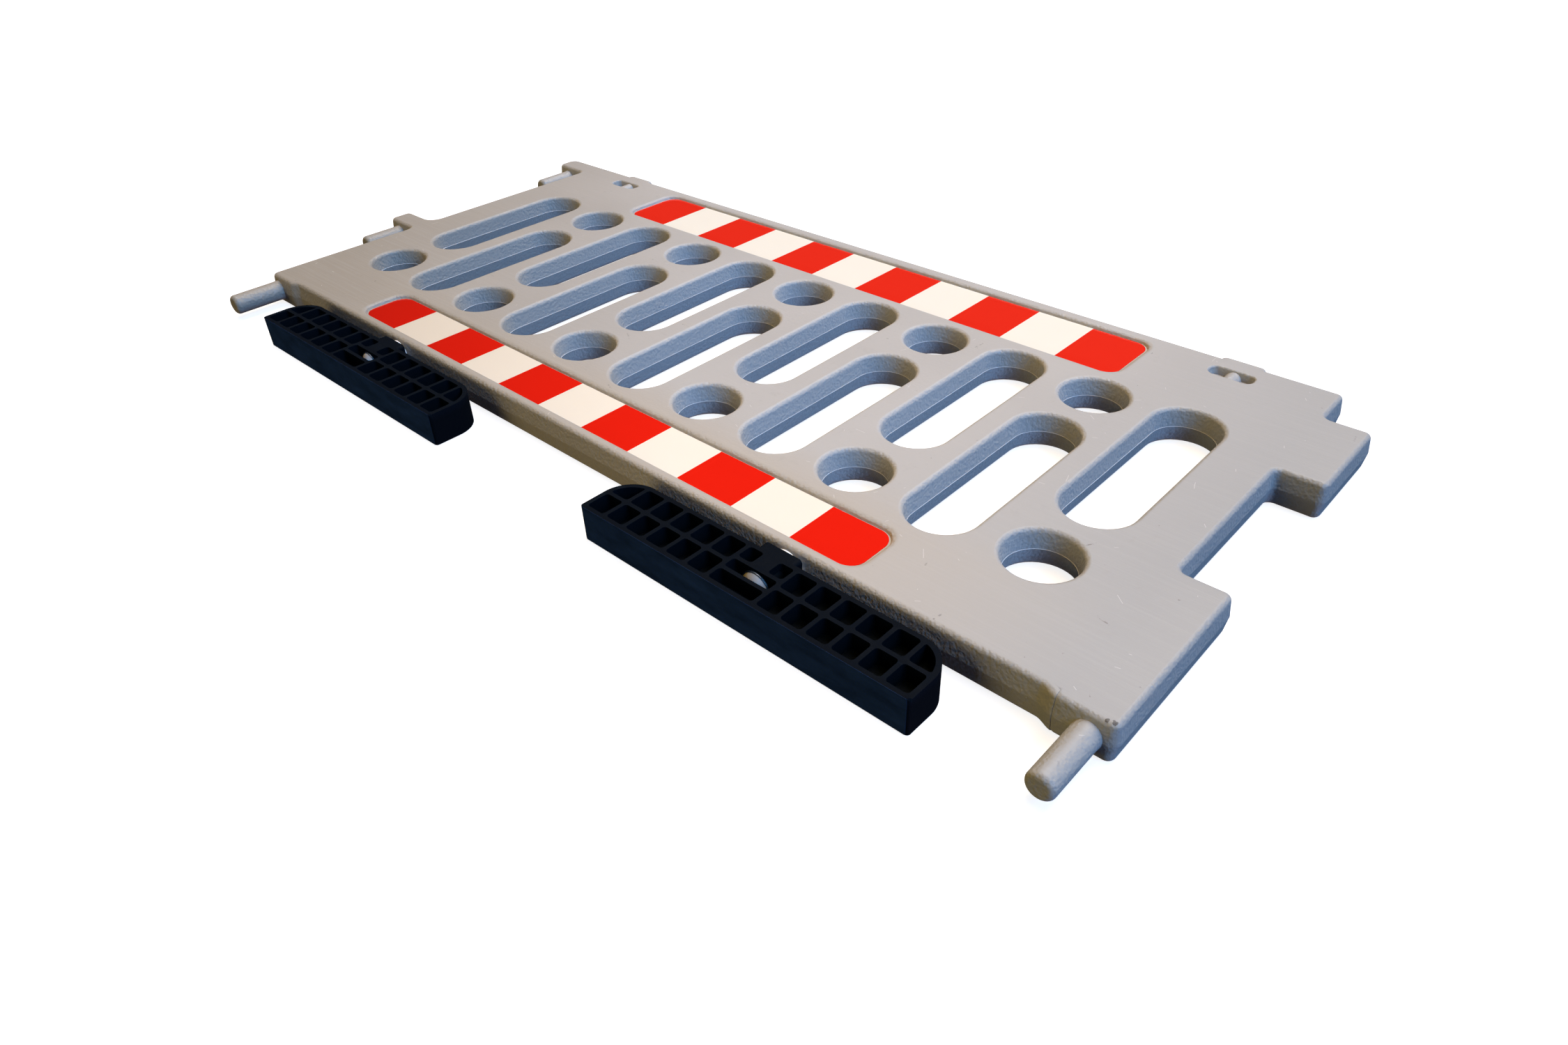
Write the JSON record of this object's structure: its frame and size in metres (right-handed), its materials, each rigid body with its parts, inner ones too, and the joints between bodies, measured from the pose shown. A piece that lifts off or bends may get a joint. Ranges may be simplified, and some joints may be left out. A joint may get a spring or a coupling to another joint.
{
  "type": "traffic barrier",
  "caption": "Long flat hollow plastic barrier panel with slotted openings, striped warning strips, pin-and-socket end connectors and two swivelling cored rubber feet.",
  "frame": {"origin": "under the middle of the whole outline, on the surface that the barrier lies on", "axes": "+X along the barrier towards the socket tabs, +Y up the panel when it stands, +Z out of the front face; the barrier lies on its back"},
  "size_m": [2.006, 0.986, 0.06],
  "materials": {
    "panel_polyethylene": "blow-moulded polyethylene, fine leather grain",
    "film_red": "reflective film",
    "film_white": "reflective film",
    "foot_rubber": "moulded rubber, dusty",
    "white_nylon": "injection-moulded nylon",
    "zinc_steel": "zinc plated",
    "insert_brass": "turned"
  },
  "bodies": {
    "barrier": {"panel": "panel_polyethylene", "strip_top_red": "film_red", "strip_top_white": "film_white", "strip_bottom_red": "film_red", "strip_bottom_white": "film_white", "pivot_bolt_left": "white_nylon", "pivot_bolt_right": "white_nylon", "head_washer_left": "zinc_steel", "head_washer_right": "zinc_steel", "thrust_washer_left": "white_nylon", "thrust_washer_right": "white_nylon", "pivot_sleeve_left": "zinc_steel", "pivot_sleeve_right": "zinc_steel", "bolt_insert_left": "insert_brass", "bolt_insert_right": "insert_brass"},
    "swivel_foot_left": {"foot_left": "foot_rubber"},
    "swivel_foot_right": {"foot_right": "foot_rubber"}
  },
  "joints": [
    {"name": "foot_swivel_left", "type": "hinge", "parent": "barrier", "child": "swivel_foot_left", "pos_m": [-0.431, -0.438, 0.03], "axis": [0, 1, 0], "continuous": true},
    {"name": "foot_swivel_right", "type": "hinge", "parent": "barrier", "child": "swivel_foot_right", "pos_m": [0.523, -0.438, 0.03], "axis": [0, 1, 0], "continuous": true}
  ]
}
